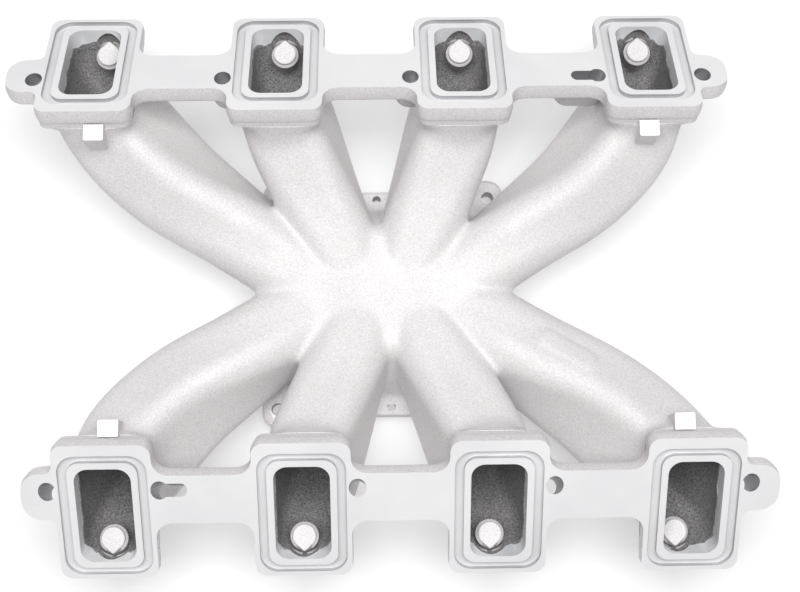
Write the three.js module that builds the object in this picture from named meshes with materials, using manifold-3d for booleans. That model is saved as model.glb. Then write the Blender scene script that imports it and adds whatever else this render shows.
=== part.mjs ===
// Single-plane intake manifold for a V8 engine: one aluminium casting, divided here
// into its functional sections. It lies upside down on its carburettor flange, so the
// carburettor face is the plane z = 0, the head flanges face up and outwards, and the
// roof of the plenum seen from above is the plenum floor in the car.
//
// Units are millimetres. X runs along the crankshaft, Y across the engine, Z is up.
// The origin is the centre of the carburettor face. The right bank is the left bank
// turned half a turn about Z, so every bank piece is designed once, in the frame of
// the +Y bank.
import * as THREE from 'three';
import { mergeVertices } from 'three/addons/utils/BufferGeometryUtils.js';
import { LoftGeometry } from 'three/addons/geometries/LoftGeometry.js';
import Module from 'manifold-3d';

const wasm = await Module();
wasm.setup();

// ---- driving dimensions ---------------------------------------------------------

const GAP = 0.3;                // parting gap between neighbouring sections
const WALL = 5;                 // wall of the casting
const FAR = 400;                // a reach past every solid, for cutting tools
const PAST = 1;                 // how far a cutting tool runs on past a face

const PORT_PITCH = 111.76;      // 4.400 in bore spacing
const BANK_SHIFT = 7.62;        // each bank's shift along the crankshaft
const PORT_W = 32;
const PORT_H = 60;
const PORT_R = 8;
const PORT_Y = 135;             // port centre, out from the crankshaft
const PORT_Z = 93;              // port centre, above the carburettor face
const BANK_TILT = THREE.MathUtils.degToRad(31.3);   // head face normal, from vertical

const BAR_IN = -26;             // flange bar, towards the valley
const BAR_OUT = 5.8;            // flange bar, away from the valley
const BAR_T = 10.5;
const PAD_W = 57;               // raised surround of each port
const PAD_IN = -45.5;
const PAD_OUT = 41.5;
const PAD_T = 14;
const PAD_STEP = 0.5;           // set-back of a pad's thick block from its edge
const EAR_IN = -28;
const EAR_OUT = 2.5;
const EAR_LEFT = -224;
const EAR_RIGHT = 207;

const GROOVE_OUT = { w: 50.5, h: 76.5, r: 10.5 };      // gasket groove round each port
const GROOVE_IN = { w: 39.7, h: 68, r: 7.5 };
const GROOVE_DEPTH = 3;

const BOLT_D = 10;
const BOLT_U = 31.5;            // bolt hole, beside its port centre
const BOLT_V = -16.2;
const SLOT_W = 7.2;
const SLOT_REACH = 14;          // how far the tool slot runs on from its bolt hole
const BOSS_R = 9;
const BOSS_H = 33;              // height of a bolt boss, straight down from the head face

const CARB_T = 13;              // carburettor flange
const CARB_X = 78;
const CARB_Y = 73;
const CARB_EAR_Y = 80;
const CARB_EAR_W = 27;
const CARB_R = { plate: 12, ear: 9 };
const CARB_STUD = 68.26;        // 5.375 in square stud pattern, half of it
const STUD_D = 8;
const BRACKET_HOLE = { x: 4, y: 67.5, d: 5.5 };
const THROAT = { x: 114, y: 116, r: 26 };            // open throttle well

const ROOF_Z = 62;              // outside of the plenum roof
const CHAMBER_TOP = { x: 122, y: 74, r: 18 };
const CHAMBER_BASE = { x: 138, y: 132, r: 30 };
const CHAMBER_VOID = { x: 110, y: 62, r: 14 };       // inside of the chamber's top
const PLENUM_EDGE = { side: 85, corner_x: [-67, 57], corner_y: 68 };

const DUCT_H_END = 41;          // a runner's height where it joins the plenum
const DUCT_W = 39;              // a runner's width below its port
const DUCT_SPREAD = 0.4;        // share of the run over which it widens
const ROLL_POWER = 1.7;         // how late a runner's section turns upright
const DUCT_STEPS = 9;
const CORNER_STEPS = 2;

const INJECTOR = { r: 7, top: 70, y: 147.5, foot: 42 };
const LUG = { size: 12.2, r: 1, top: 108.2, y: 87.3, foot: 82 };

// The four runners of the +Y bank, from left to right. via lists the points of each
// centreline after its neck: the bend, the middle of the run, and its end in the plenum.
// injector and lug are offsets of the injector boss and datum lug from the port centre.
const RUNNERS = [
  { via: [[-161.5, 103, 62], [-134, 74, 51], [-92, 43, 43], [-45, 8, 36]], injector: 6.5, lug: 5.8 },
  { via: [[-57, 105, 63], [-42.5, 68, 47], [-20, 14, 36]], injector: 3.5 },
  { via: [[43.4, 105, 63], [31.6, 68, 47], [14, 14, 36]], injector: 0.2 },
  { via: [[150.5, 99, 61], [125, 68, 50], [88, 40, 43], [45, 8, 36]], injector: -0.3, lug: -3 },
];
const NECK = 20;                // straight run behind each port

const PORTS = [0, 1, 2, 3];
const portX = (i) => (i - 1.5) * PORT_PITCH - BANK_SHIFT;

// ---- finishes -------------------------------------------------------------------

const cast = () => new THREE.MeshStandardMaterial({ color: 0xc9c7c6, roughness: 0.72, metalness: 0.55 });
const machined = () => new THREE.MeshStandardMaterial({ color: 0xe9e8ea, roughness: 0.34, metalness: 0.8 });

// ---- solids ---------------------------------------------------------------------

function solid(geometry) {
  geometry.deleteAttribute('normal');
  geometry.deleteAttribute('uv');
  const merged = mergeVertices(new THREE.BufferGeometry().copy(geometry), 1e-4);
  return new wasm.Manifold(new wasm.Mesh({
    numProp: 3,
    vertProperties: new Float32Array(merged.attributes.position.array),
    triVerts: new Uint32Array(merged.index.array),
  }));
}

function toGeometry(body) {
  const mesh = body.getMesh();
  const geometry = new THREE.BufferGeometry();
  geometry.setAttribute('position', new THREE.BufferAttribute(Float32Array.from(mesh.vertProperties), 3));
  geometry.setIndex(new THREE.BufferAttribute(Uint32Array.from(mesh.triVerts), 1));
  geometry.computeVertexNormals();
  return geometry;
}

const union = (bodies) => bodies.reduce((sum, body) => sum.add(body));

function extrude(shape, z0, z1, curveSegments = 4) {
  const geometry = new THREE.ExtrudeGeometry(shape, { depth: z1 - z0, bevelEnabled: false, curveSegments });
  geometry.translate(0, 0, z0);
  return geometry;
}

// An outline through corners [x, y, radius], each corner rounded off.
function roundedOutline(corners) {
  const shape = new THREE.Shape();
  corners.forEach(([x, y, radius], i) => {
    const corner = new THREE.Vector2(x, y);
    const before = corners[(i + corners.length - 1) % corners.length];
    const after = corners[(i + 1) % corners.length];
    const from = new THREE.Vector2(before[0], before[1]).sub(corner).setLength(radius).add(corner);
    const to = new THREE.Vector2(after[0], after[1]).sub(corner).setLength(radius).add(corner);
    if (i === 0) shape.moveTo(from.x, from.y);
    else shape.lineTo(from.x, from.y);
    shape.quadraticCurveTo(x, y, to.x, to.y);
  });
  shape.closePath();
  return shape;
}

const roundedRect = (w, h, r, x = 0, y = 0) => roundedOutline([
  [x - w / 2, y - h / 2, r],
  [x + w / 2, y - h / 2, r],
  [x + w / 2, y + h / 2, r],
  [x - w / 2, y + h / 2, r],
]);

function disc(x, y, r) {
  const shape = new THREE.Shape();
  shape.absarc(x, y, r, 0, 2 * Math.PI);
  return shape;
}

// A block whose rounded plan changes evenly from base (at z0) to top (at z1).
function frustum(base, top, z0, z1) {
  const ring = ({ x, y, r }, z) => ringPoints(x, y, r).map(([px, py]) => new THREE.Vector3(px, py, z));
  return solid(new LoftGeometry([ring(base, z0), ring(top, z1)], { capStart: true, capEnd: true }));
}

// Points of a rounded rectangle, counterclockwise.
function ringPoints(w, h, r) {
  const points = [];
  for (let corner = 0; corner < 4; corner++) {
    const cx = (corner === 0 || corner === 3 ? 1 : -1) * (w / 2 - r);
    const cy = (corner < 2 ? 1 : -1) * (h / 2 - r);
    for (let step = 0; step <= CORNER_STEPS; step++) {
      const angle = (corner + step / CORNER_STEPS) * Math.PI / 2;
      points.push([cx + r * Math.cos(angle), cy + r * Math.sin(angle)]);
    }
  }
  return points;
}

// ---- the bank frame -------------------------------------------------------------

// Flange coordinates: x along the crankshaft, y away from the valley, z out of the face.
const flangeFrame = new THREE.Matrix4()
  .makeTranslation(0, PORT_Y, PORT_Z)
  .multiply(new THREE.Matrix4().makeRotationX(-BANK_TILT));
const faceNormal = new THREE.Vector3(0, Math.sin(BANK_TILT), Math.cos(BANK_TILT));
const faceOutward = new THREE.Vector3(0, Math.cos(BANK_TILT), -Math.sin(BANK_TILT));
const inFlange = (geometry) => geometry.applyMatrix4(flangeFrame);

// ---- runners --------------------------------------------------------------------

function runnerPath(i) {
  const port = new THREE.Vector3(portX(i), PORT_Y, PORT_Z);
  const neck = port.clone().addScaledVector(faceNormal, -NECK);
  return new THREE.CatmullRomCurve3([port, neck, ...RUNNERS[i].via.map((p) => new THREE.Vector3(...p))]);
}

// The runner's section turns from the port's tilt to upright on its way to the plenum.
function runnerSolid(i, grow) {
  const path = runnerPath(i);
  const down = new THREE.Vector3(0, 0, -1);
  const sections = [];
  for (let step = 0; step <= DUCT_STEPS; step++) {
    const s = step / DUCT_STEPS;
    const centre = path.getPointAt(s);
    const along = path.getTangentAt(s);
    const tall = faceOutward.clone().lerp(down, s ** ROLL_POWER);
    tall.addScaledVector(along, -tall.dot(along)).normalize();
    const wide = new THREE.Vector3().crossVectors(tall, along);
    const w = THREE.MathUtils.lerp(PORT_W, DUCT_W, THREE.MathUtils.smoothstep(s, 0, DUCT_SPREAD)) + 2 * grow;
    const h = THREE.MathUtils.lerp(PORT_H, DUCT_H_END, s * s) + 2 * grow;
    sections.push(ringPoints(w, h, PORT_R + grow).map(([a, b]) => centre.clone()
      .addScaledVector(wide, a).addScaledVector(tall, b)));
  }
  return solid(new LoftGeometry(sections, { capStart: true, capEnd: true }));
}

// ---- head flange ----------------------------------------------------------------

const R_PAD = 7.5;              // corner radii of the flange's outline
const R_INNER = 9;
const R_EAR = 12;
const R_STEP = 4.5;

// The outline of a bar with a pad at each port and an ear at each end.
function flangeOutline() {
  const left = (i) => portX(i) - PAD_W / 2;
  const right = (i) => portX(i) + PAD_W / 2;
  const corners = [[EAR_LEFT, EAR_IN, R_EAR], [left(0), EAR_IN, R_STEP], [left(0), PAD_IN, R_PAD]];
  for (const i of [0, 1, 2]) {
    corners.push([right(i), PAD_IN, R_PAD], [right(i), BAR_IN, R_INNER]);
    corners.push([left(i + 1), BAR_IN, R_INNER], [left(i + 1), PAD_IN, R_PAD]);
  }
  corners.push([right(3), PAD_IN, R_PAD], [right(3), EAR_IN, R_STEP]);
  corners.push([EAR_RIGHT, EAR_IN, R_EAR], [EAR_RIGHT, EAR_OUT, R_EAR]);
  corners.push([right(3), EAR_OUT, R_STEP], [right(3), PAD_OUT, R_PAD]);
  for (const i of [3, 2, 1]) {
    corners.push([left(i), PAD_OUT, R_PAD], [left(i), BAR_OUT, R_INNER]);
    corners.push([right(i - 1), BAR_OUT, R_INNER], [right(i - 1), PAD_OUT, R_PAD]);
  }
  corners.push([left(0), PAD_OUT, R_PAD], [left(0), EAR_OUT, R_STEP], [EAR_LEFT, EAR_OUT, R_EAR]);
  return roundedOutline(corners);
}

const boltCentres = [...PORTS.map((i) => portX(i) - BOLT_U), portX(3) + BOLT_U];
const SLOT_AT = 3;              // the bolt hole that has the slot

// The bolts stand upright, so their holes lean against the tilted head face.
const BOLT_Y = PORT_Y + BOLT_V * Math.cos(BANK_TILT);
const BOLT_Z = PORT_Z - BOLT_V * Math.sin(BANK_TILT);

const padShape = (i, grow) => roundedRect(
  PAD_W + 2 * grow, PAD_OUT - PAD_IN + 2 * grow, R_PAD, portX(i), (PAD_OUT + PAD_IN) / 2);

const portShape = (i, grow) => roundedRect(PORT_W + 2 * grow, PORT_H + 2 * grow, PORT_R, portX(i), 0);

function grooveShape(i) {
  const ring = roundedRect(GROOVE_OUT.w, GROOVE_OUT.h, GROOVE_OUT.r, portX(i), 0);
  ring.holes.push(roundedRect(GROOVE_IN.w, GROOVE_IN.h, GROOVE_IN.r, portX(i), 0));
  return ring;
}

function slotShape() {
  const end = boltCentres[SLOT_AT] - SLOT_REACH;
  return roundedRect(SLOT_REACH + SLOT_W / 2, SLOT_W, SLOT_W / 2.01, end + SLOT_REACH / 2, BOLT_Y);
}

// The upright bolt bosses below the bar.
function boltBosses(grow) {
  const bar = solid(inFlange(extrude(roundedRect(2 * FAR, FAR, 1), -BAR_T / 2, FAR)));
  return union(boltCentres.map((u) => solid(extrude(
    disc(u, BOLT_Y, BOSS_R + grow), BOLT_Z - BOSS_H - grow, BOLT_Z + BOSS_R, 5)))).subtract(bar);
}

function headFlange() {
  const plate = solid(inFlange(extrude(flangeOutline(), -BAR_T, 0, 3)));
  const pads = PORTS.map((i) => solid(inFlange(extrude(padShape(i, -PAD_STEP), -PAD_T, -BAR_T / 2, 2))));
  const upright = (shape, segments) => solid(extrude(
    shape, BOLT_Z - BOSS_H - PAST, BOLT_Z + BOSS_R, segments));
  const cuts = [
    ...boltCentres.map((u) => upright(disc(u, BOLT_Y, BOLT_D / 2), 6)),
    upright(slotShape(), 3),
    ...PORTS.map((i) => solid(inFlange(extrude(portShape(i, 0), -PAD_T - PAST, PAST, CORNER_STEPS)))),
    ...PORTS.map((i) => solid(inFlange(extrude(grooveShape(i), -GROOVE_DEPTH, PAST, 2)))),
  ];
  return union([plate, ...pads, boltBosses(0)]).subtract(union(cuts));
}

// ---- carburettor flange ---------------------------------------------------------

const halfTurn = (body) => body.rotate([0, 0, 180]);

function carbFlange() {
  const slab = (w, h, r, x = 0, y = 0) => solid(extrude(roundedRect(w, h, r, x, y), 0, CARB_T));
  const hole = (x, y, d) => solid(extrude(disc(x, y, d / 2), -PAST, CARB_T + PAST, 6));
  const earX = CARB_X - CARB_EAR_W / 2;
  const earY = CARB_EAR_Y - CARB_EAR_W / 2;
  const ears = [-earX, earX].map((x) => slab(CARB_EAR_W, CARB_EAR_W, CARB_R.ear, x, earY));
  const holes = [
    hole(-CARB_STUD, CARB_STUD, STUD_D),
    hole(CARB_STUD, CARB_STUD, STUD_D),
    hole(-BRACKET_HOLE.x, BRACKET_HOLE.y, BRACKET_HOLE.d),
  ];
  const throat = solid(extrude(roundedRect(THROAT.x, THROAT.y, THROAT.r), -PAST, CARB_T + PAST));
  const plate = slab(2 * CARB_X, 2 * CARB_Y, CARB_R.plate);
  return union([plate, ...ears, ...ears.map(halfTurn)])
    .subtract(union([throat, ...holes, ...holes.map(halfTurn)]));
}

// ---- plenum and runners ---------------------------------------------------------

// Plan of the plenum: each side is the cut across one or two runners.
function plenumPlan(grow) {
  const { side, corner_x: [left, right], corner_y: corner } = PLENUM_EDGE;
  const points = [
    [side, 0], [right, corner], [left, corner],
    [-side, 0], [-right, -corner], [-left, -corner],
  ];
  return new THREE.Shape(points.map(([x, y]) => new THREE.Vector2(
    x * (1 + grow / side), y * (1 + grow / corner))));
}

const ducts = PORTS.map((i) => runnerSolid(i, 0));
const tubes = PORTS.map((i) => runnerSolid(i, WALL));
const cavity = frustum(THROAT, CHAMBER_VOID, -PAST, ROOF_Z - WALL);
const airSpace = union([cavity, ...ducts, ...ducts.map(halfTurn)]);

// Everything above the back of the head flange, with its gap.
const flangeSpace = solid(inFlange(extrude(roundedRect(2 * FAR, FAR, 1), -PAD_T - GAP, FAR)));
const carbSpace = solid(extrude(roundedRect(
  2 * (CARB_X + GAP), 2 * (CARB_EAR_Y + GAP), CARB_R.ear), -FAR, CARB_T + GAP));

function plenum() {
  const chamber = frustum(CHAMBER_BASE, CHAMBER_TOP, CARB_T + GAP, ROOF_Z);
  const region = solid(extrude(plenumPlan(0), CARB_T + GAP, FAR));
  return union([chamber, ...tubes, ...tubes.map(halfTurn)]).intersect(region).subtract(airSpace);
}

function runner(i) {
  const plenumSpace = solid(extrude(plenumPlan(GAP), -FAR, FAR));
  const bossSpace = injectorCylinder(i, GAP, FAR);
  const spaces = [plenumSpace, flangeSpace, boltBosses(GAP), carbSpace, airSpace, bossSpace];
  return tubes[i].subtract(union(spaces));
}

// ---- small pieces ---------------------------------------------------------------

function injectorCylinder(i, grow, top) {
  const x = portX(i) + RUNNERS[i].injector;
  return solid(extrude(disc(x, INJECTOR.y, INJECTOR.r + grow), INJECTOR.foot - grow, top, 6));
}

// An undrilled boss that stands through the runner's wall into the air passage.
function injectorBoss(i) {
  const port = solid(inFlange(extrude(portShape(i, -GAP), -FAR, FAR, CORNER_STEPS)));
  return injectorCylinder(i, 0, INJECTOR.top).subtract(flangeSpace.subtract(port));
}

// A square lug that stands on the runner and stops at the edge of the port's pad.
function datumLug(i) {
  const block = roundedRect(LUG.size, LUG.size, LUG.r, portX(i) + RUNNERS[i].lug, LUG.y);
  const pad = solid(inFlange(extrude(padShape(i, GAP), -PAD_T - GAP, FAR, 2)));
  return solid(extrude(block, LUG.foot, LUG.top, 1)).subtract(union([pad, runnerSolid(i, WALL + GAP)]));
}

// ---- assembly -------------------------------------------------------------------

const manifold = new THREE.Group();
manifold.name = 'intake_manifold';

function addMesh(parent, name, body, material) {
  const mesh = new THREE.Mesh(toGeometry(body), material);
  mesh.name = name;
  parent.add(mesh);
}

addMesh(manifold, 'carburettor_flange', carbFlange(), machined());
addMesh(manifold, 'plenum', plenum(), cast());

const flangeBody = headFlange();
const runnerBodies = PORTS.map(runner);
const bossBodies = PORTS.map(injectorBoss);
const lugPorts = PORTS.filter((i) => RUNNERS[i].lug !== undefined);

for (const [side, turn] of [['left', 0], ['right', Math.PI]]) {
  const bank = new THREE.Group();
  bank.rotation.z = turn;
  manifold.add(bank);
  addMesh(bank, `head_flange_${side}`, flangeBody, machined());
  for (const i of PORTS) {
    addMesh(bank, `runner_${i + 1}_${side}`, runnerBodies[i], cast());
    addMesh(bank, `injector_boss_${i + 1}_${side}`, bossBodies[i], cast());
  }
  for (const i of lugPorts) {
    addMesh(bank, `datum_lug_${i + 1}_${side}`, datumLug(i), machined());
  }
}

export default manifold;
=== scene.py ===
"""Looks of a cast aluminium intake manifold, lying upside down on its carburettor flange.

The casting's skin is one smooth distance field, so the runners flow into the plenum with
cast fillets. It is cut exactly where the CAD divides the casting, into one closed piece for
each CAD node. The machined plates are built as crisp solids. Lengths are in millimetres
until a piece is finished, and then in metres.
"""
import math

import bmesh
import bpy
import numpy as np
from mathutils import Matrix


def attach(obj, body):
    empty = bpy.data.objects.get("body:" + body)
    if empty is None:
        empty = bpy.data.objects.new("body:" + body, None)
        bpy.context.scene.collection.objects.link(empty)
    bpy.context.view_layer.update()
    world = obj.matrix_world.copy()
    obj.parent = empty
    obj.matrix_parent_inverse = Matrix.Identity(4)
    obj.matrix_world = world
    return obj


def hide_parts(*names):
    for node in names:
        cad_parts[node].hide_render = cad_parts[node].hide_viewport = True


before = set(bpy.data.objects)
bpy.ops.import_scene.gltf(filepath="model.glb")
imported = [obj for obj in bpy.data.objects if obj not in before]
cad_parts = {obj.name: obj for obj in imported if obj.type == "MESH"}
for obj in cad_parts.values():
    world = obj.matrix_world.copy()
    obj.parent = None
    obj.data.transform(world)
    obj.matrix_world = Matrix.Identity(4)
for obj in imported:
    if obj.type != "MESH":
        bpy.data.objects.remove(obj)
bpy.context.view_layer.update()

import openvdb
from mathutils import Matrix, Vector

SCENE = bpy.context.scene
MM = 0.001

# ---- camera ---------------------------------------------------------------------

CAMERA_AT = (-6.2, -146.8, 881.7)        # millimetres
CAMERA_TURN = (9.855, -0.958, -0.794)    # degrees about X, Y and Z
SENSOR = 36.0
LENS = 61.55

camera = bpy.data.objects.new("camera", bpy.data.cameras.new("camera"))
camera.data.sensor_width = SENSOR
camera.data.lens = LENS
camera.data.clip_end = 20.0
camera.location = Vector(CAMERA_AT) * MM
camera.rotation_euler = [math.radians(a) for a in CAMERA_TURN]
SCENE.collection.objects.link(camera)
SCENE.camera = camera

# ---- dimensions, the same as the CAD's ------------------------------------------

WALL = 5.0
PORT_PITCH = 111.76
BANK_SHIFT = 7.62
PORT_W, PORT_H, PORT_R = 32.0, 60.0, 8.0
PORT_Y, PORT_Z = 135.0, 93.0
TILT = math.radians(31.3)
BAR_IN, BAR_OUT, BAR_T = -26.0, 5.8, 10.5
PAD_W, PAD_IN, PAD_OUT, PAD_T = 57.0, -45.5, 41.5, 14.0
EAR_IN, EAR_OUT, EAR_LEFT, EAR_RIGHT = -28.0, 2.5, -224.0, 207.0
R_PAD, R_INNER, R_EAR, R_STEP = 7.5, 9.0, 12.0, 4.5
GROOVE_OUT = (50.5, 76.5, 10.5)
GROOVE_IN = (39.7, 68.0, 7.5)
GROOVE_DEPTH = 3.0
BOLT_D, BOLT_U, BOLT_V = 10.0, 31.5, -16.2
SLOT_W, SLOT_REACH, SLOT_AT = 7.2, 14.0, 3
BOSS_R, BOSS_H = 9.0, 33.0
CARB_T, CARB_X, CARB_Y, CARB_EAR_Y, CARB_EAR_W = 13.0, 78.0, 73.0, 80.0, 27.0
CARB_STUD, STUD_D = 68.26, 8.0
BRACKET_AT, BRACKET_D = (-4.0, 67.5), 5.5
THROAT = (114.0, 116.0, 26.0)
ROOF_Z = 62.0
CHAMBER_TOP = (122.0, 74.0, 18.0)
CHAMBER_BASE = (138.0, 132.0, 30.0)
CHAMBER_VOID = (110.0, 62.0, 14.0)
PLENUM_SIDE, PLENUM_CORNER_Y = 85.0, 68.0
PLENUM_CORNERS_X = (-67.0, 57.0)
DUCT_H_END, DUCT_W, DUCT_SPREAD, ROLL_POWER = 41.0, 39.0, 0.4, 1.7
NECK = 20.0
VIA = [
    [(-161.5, 103, 62), (-134, 74, 51), (-92, 43, 43), (-45, 8, 36)],
    [(-57, 105, 63), (-42.5, 68, 47), (-20, 14, 36)],
    [(43.4, 105, 63), (31.6, 68, 47), (14, 14, 36)],
    [(150.5, 99, 61), (125, 68, 50), (88, 40, 43), (45, 8, 36)],
]
INJECTOR_X = [6.5, 3.5, 0.2, -0.3]       # from each port's centre
INJECTOR_Y, INJECTOR_R, INJECTOR_TOP, INJECTOR_FOOT = 147.5, 7.0, 70.0, 42.0
LUG_X = {0: 5.8, 3: -3.0}                # from the port's centre
LUG_SIZE, LUG_TOP, LUG_Y = 12.2, 108.2, 87.3
PORTS = range(4)

# ---- what the skin adds to the CAD ----------------------------------------------

VOXEL = 1.3
GRID_HALF = (210.6, 170.3)               # half the field's reach in X and Y
GRID_Z = (5.2, 110.5)
BAND = 12.0                              # distances are kept this far from the surface
FRAMES = 121                             # sections along a runner
RUNNER_MARGIN = 52.0                     # reach of a runner's own part of the grid
CHUNK = 200000                           # grid points worked on at once
RADIUS_START, RADIUS_SPAN = 0.15, 0.8    # where along a runner its corner radius grows
ABOVE_FACE = 8.0                         # how far the pads are carried above the head face
NEAR_FLANGE = (-52.0, 22.0)              # where the flange's rounding takes over, and how fast
OUTER_R = (9.5, 19.0)                    # corner radius of a runner's outside, at port and plenum
CHAMBER_BLUR = 3.5                       # rounds the plenum's edges
CROTCH_BLUR = 1.7                        # rounds the fillets between the runners
NECK_BLUR = 3.4                          # rounds the fillets under the head flange
DETAIL_BLUR = 1.1                        # rounds the small cast edges
NECK_DEPTH = 22.0                        # how far the neck reaches behind a pad
NECK_INNER = 43.0                        # the neck's reach towards the valley
NECK_SPREAD = 6.0                        # how far the neck is widened towards the middle runners
NECK_LEAN = 6.0                          # how far its outer side leans after the runner
PAD_SINK = 3.5                           # how far the skin carries a pad on behind its back
PAD_SHRINK = 0.7                         # how far the skin's pad stands inside the real one
LUG_ROOT_Z, LUG_ROOT_HALF = 90.0, 14.0   # middle and half height of the lugs in the field
OVAL_FLOOR = 35.0                        # the number pad is only raised above this height
CORE_STEP = 0.5                          # how far the cast duct stands inside the port
LEAD_IN = 10.5                           # depth of the machined port
LEAD_WAVE = 1.9
OVAL = {"x": 109.0, "y": -39.6, "turn": -32.0, "length": 38.0, "width": 10.5, "raise": 1.3}
ARC_STEPS = 8


def port_x(i):
    return (i - 1.5) * PORT_PITCH - BANK_SHIFT


BOLTS = [port_x(i) - BOLT_U for i in PORTS] + [port_x(3) + BOLT_U]
BOLT_Y = PORT_Y + BOLT_V * math.cos(TILT)
BOLT_Z = PORT_Z - BOLT_V * math.sin(TILT)

FLANGE = Matrix.Translation((0, PORT_Y, PORT_Z)) @ Matrix.Rotation(-TILT, 4, "X")
FACE_NORMAL = np.array([0, math.sin(TILT), math.cos(TILT)])
FACE_OUTWARD = np.array([0, math.cos(TILT), -math.sin(TILT)])

# ---- distance fields ------------------------------------------------------------

AXES = [
    np.arange(-GRID_HALF[0], GRID_HALF[0] + VOXEL / 2, VOXEL, dtype=np.float32),
    np.arange(-GRID_HALF[1], GRID_HALF[1] + VOXEL / 2, VOXEL, dtype=np.float32),
    np.arange(GRID_Z[0], GRID_Z[1], VOXEL, dtype=np.float32),
]
GX = AXES[0][:, None, None]
GY = AXES[1][None, :, None]
GZ = AXES[2][None, None, :]
SHAPE = tuple(len(a) for a in AXES)


def box_distance(a, b, half_a, half_b, radius):
    """Distance to a rounded rectangle, negative inside."""
    qa = np.abs(a) - (half_a - radius)
    qb = np.abs(b) - (half_b - radius)
    outside = np.hypot(np.maximum(qa, 0), np.maximum(qb, 0))
    return outside + np.minimum(np.maximum(qa, qb), 0) - radius


def lerp(a, b, t):
    return a + (b - a) * t


def blur(field, sigma):
    """A Gaussian blur of a clipped distance field: flat skin stays, edges turn round."""
    reach = int(math.ceil(3 * sigma / VOXEL))
    taps = np.exp(-0.5 * (np.arange(-reach, reach + 1) * VOXEL / sigma) ** 2)
    taps /= taps.sum()
    for axis in range(3):
        pad = [(0, 0)] * 3
        pad[axis] = (reach, reach)
        padded = np.pad(field, pad, mode="edge")
        total = np.zeros_like(field)
        for k, tap in enumerate(taps):
            part = [slice(None)] * 3
            part[axis] = slice(k, k + field.shape[axis])
            total += np.float32(tap) * padded[tuple(part)]
        field = total
    return field


def centripetal(points, count):
    """A centripetal Catmull-Rom curve through points, sampled evenly along its length."""
    p = np.array(points, float)
    p = np.vstack([2 * p[0] - p[1], p, 2 * p[-1] - p[-2]])
    fine = []
    for k in range(1, len(p) - 2):
        p0, p1, p2, p3 = p[k - 1:k + 3]
        d0, d1, d2 = (np.linalg.norm(b - a) ** 0.5 for a, b in ((p0, p1), (p1, p2), (p2, p3)))
        t1 = ((p1 - p0) / d0 - (p2 - p0) / (d0 + d1) + (p2 - p1) / d1) * d1
        t2 = ((p2 - p1) / d1 - (p3 - p1) / (d1 + d2) + (p3 - p2) / d2) * d1
        for t in np.linspace(0, 1, 60, endpoint=False):
            fine.append(p1 + t1 * t + (3 * (p2 - p1) - 2 * t1 - t2) * t ** 2
                        + (2 * (p1 - p2) + t1 + t2) * t ** 3)
    fine.append(p[-2])
    fine = np.array(fine)
    run = np.concatenate([[0], np.cumsum(np.linalg.norm(np.diff(fine, axis=0), axis=1))])
    at = np.linspace(0, run[-1], count)
    return np.stack([np.interp(at, run, fine[:, k]) for k in range(3)], 1), at[1]


def runner_frames(i, count=FRAMES):
    """Centres, directions and half sizes of a runner's duct along its length."""
    port = np.array([port_x(i), PORT_Y, PORT_Z])
    centres, step = centripetal([port, port - NECK * FACE_NORMAL, *VIA[i]], count)
    along = np.gradient(centres, axis=0)
    along /= np.linalg.norm(along, axis=1)[:, None]
    along[0] = -FACE_NORMAL
    s = np.linspace(0, 1, count)
    tall = lerp(FACE_OUTWARD, np.array([0, 0, -1.0]), (s ** ROLL_POWER)[:, None])
    tall -= along * (tall * along).sum(1)[:, None]
    tall /= np.linalg.norm(tall, axis=1)[:, None]
    wide = np.cross(tall, along)
    spread = np.clip(s / DUCT_SPREAD, 0, 1)
    half_w = lerp(PORT_W, DUCT_W, spread ** 2 * (3 - 2 * spread)) / 2
    half_h = lerp(PORT_H, DUCT_H_END, s ** 2) / 2
    return centres, along, wide, tall, half_w, half_h, step


def runner_fields(i):
    """The runner's outside and inside distances, in the part of the grid around it."""
    centres, along, wide, tall, half_w, half_h, step = runner_frames(i)
    part = []
    for k in range(3):
        low, high = centres[:, k].min() - RUNNER_MARGIN, centres[:, k].max() + RUNNER_MARGIN
        part.append(slice(int(np.searchsorted(AXES[k], low)), int(np.searchsorted(AXES[k], high))))
    part = tuple(part)
    x, y, z = np.meshgrid(*(AXES[k][part[k]] for k in range(3)), indexing="ij")
    shape = x.shape
    points = np.stack([x.ravel(), y.ravel(), z.ravel()], 1)
    outside = np.empty(len(points), np.float32)
    inside = np.empty(len(points), np.float32)
    length_sq = (centres ** 2).sum(1)
    for start in range(0, len(points), CHUNK):
        p = points[start:start + CHUNK].astype(np.float64)
        near = np.argmin(length_sq - 2 * p @ centres.T, axis=1)
        ahead = ((p - centres[near]) * along[near]).sum(1) / step
        u = np.clip(near + ahead, 0, len(centres) - 1.001)
        j = u.astype(int)
        f = (u - j)[:, None]
        offset = p - lerp(centres[j], centres[j + 1], f)
        a = (offset * lerp(wide[j], wide[j + 1], f)).sum(1)
        b = (offset * lerp(tall[j], tall[j + 1], f)).sum(1)
        w = lerp(half_w[j], half_w[j + 1], f[:, 0])
        h = lerp(half_h[j], half_h[j + 1], f[:, 0])
        past_end = np.where(u > len(centres) - 2, (offset * along[j]).sum(1), -BAND)
        grown = np.clip(u / (RADIUS_SPAN * len(centres)) - RADIUS_START, 0, 1)
        radius = lerp(*OUTER_R, grown)
        outer = box_distance(a, b, w + WALL, h + WALL, radius)
        inner = box_distance(a, b, w - CORE_STEP, h - CORE_STEP, PORT_R)
        outside[start:start + CHUNK] = np.maximum(outer, past_end)
        inside[start:start + CHUNK] = np.maximum(inner, past_end)
    return part, outside.reshape(shape), inside.reshape(shape)


def half_turned(field):
    return field[::-1, ::-1, :]


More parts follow.
